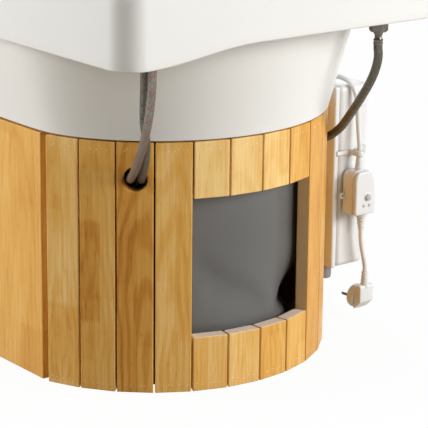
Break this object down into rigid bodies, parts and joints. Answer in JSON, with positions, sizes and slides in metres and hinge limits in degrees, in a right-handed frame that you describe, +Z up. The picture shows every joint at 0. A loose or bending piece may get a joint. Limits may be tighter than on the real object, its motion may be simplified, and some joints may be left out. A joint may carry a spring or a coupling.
{
  "type": "hair washing bed",
  "caption": "Salon hair washing bed: ceramic basin on a round-nosed base of upright wooden boards, with mixer tap, hoses, side water heater and padded bed.",
  "frame": {"origin": "on the floor, in the middle of the footprint", "axes": "+Z up, +Y from the basin end to the foot of the bed, +X to the side of the water heater"},
  "size_m": [0.6648, 2.22, 0.745],
  "materials": {
    "rubberwood": "satin lacquer",
    "plywood": "raw",
    "white_china": "glazed ceramic, opaque",
    "silicone": "satin",
    "leatherette": "soft satin",
    "curtain_vinyl": "semi-matte sheet",
    "chrome": "polished",
    "steel_braid": "braided wire",
    "brass": "machined",
    "white_plastic": "semi-gloss",
    "grey_plastic": "matte"
  },
  "bodies": {
    "bed": {"base_board_01": "rubberwood", "base_board_02": "rubberwood", "base_board_03": "rubberwood", "base_board_04": "rubberwood", "base_board_09": "rubberwood", "base_board_10": "rubberwood", "base_board_11": "rubberwood", "base_board_12": "rubberwood", "window_head_board_05": "rubberwood", "window_head_board_06": "rubberwood", "window_head_board_07": "rubberwood", "window_head_board_08": "rubberwood", "window_sill_board_05": "rubberwood", "window_sill_board_06": "rubberwood", "window_sill_board_07": "rubberwood", "window_sill_board_08": "rubberwood", "side_panel_left": "rubberwood", "side_panel_right": "rubberwood", "foot_panel": "rubberwood", "bed_deck": "rubberwood", "top_ring": "plywood", "floor_plate": "plywood", "bulkhead": "plywood", "basin": "white_china", "neck_rest": "silicone", "mattress": "leatherette", "window_curtain": "curtain_vinyl", "drain_flange": "chrome", "drain_trap": "white_plastic", "waste_pipe": "grey_plastic", "mixer_body": "chrome", "mixer_backnut": "brass", "shower_outlet": "chrome", "shower_hose_nut": "chrome", "hot_hose": "steel_braid", "cold_hose": "steel_braid", "shower_hose": "steel_braid", "supply_manifold": "brass", "shower_coupling": "brass", "heater_bracket": "chrome", "heater_back_shell": "white_plastic", "heater_cover": "white_plastic", "heater_inlet": "grey_plastic", "heater_outlet": "grey_plastic", "heater_gland": "white_plastic", "power_cord": "white_plastic", "plug_cord": "white_plastic", "switch_front_shell": "white_plastic", "switch_rear_shell": "white_plastic", "switch_top_relief": "white_plastic", "switch_bottom_relief": "white_plastic", "plug_body": "white_plastic", "plug_pin_front": "chrome", "plug_pin_rear": "chrome", "cord_strap": "white_plastic"},
    "strainer": {"drain_strainer": "chrome"},
    "tap_stem": {"mixer_stem": "chrome"},
    "tap_handle": {"mixer_handle": "chrome"},
    "reset_button": {"switch_button": "grey_plastic"}
  },
  "joints": [
    {"name": "strainer_lift", "type": "slide", "parent": "bed", "child": "strainer", "axis": [0, 0, 1], "range_m": [0, 0.05]},
    {"name": "mixer_turn", "type": "hinge", "parent": "bed", "child": "tap_stem", "pos_m": [-0.2372, -1.0697, 0.7136], "axis": [0, 0, 1], "range_deg": [-45, 45]},
    {"name": "mixer_tilt", "type": "hinge", "parent": "tap_stem", "child": "tap_handle", "pos_m": [-0.2372, -1.0697, 0.7136], "axis": [0.7958, -0.6056, 0], "range_deg": [0, 25]},
    {"name": "switch_press", "type": "slide", "parent": "bed", "child": "reset_button", "axis": [0, 1, 0], "range_m": [0, 0.0025], "stiffness_N_per_m": 600}
  ]
}
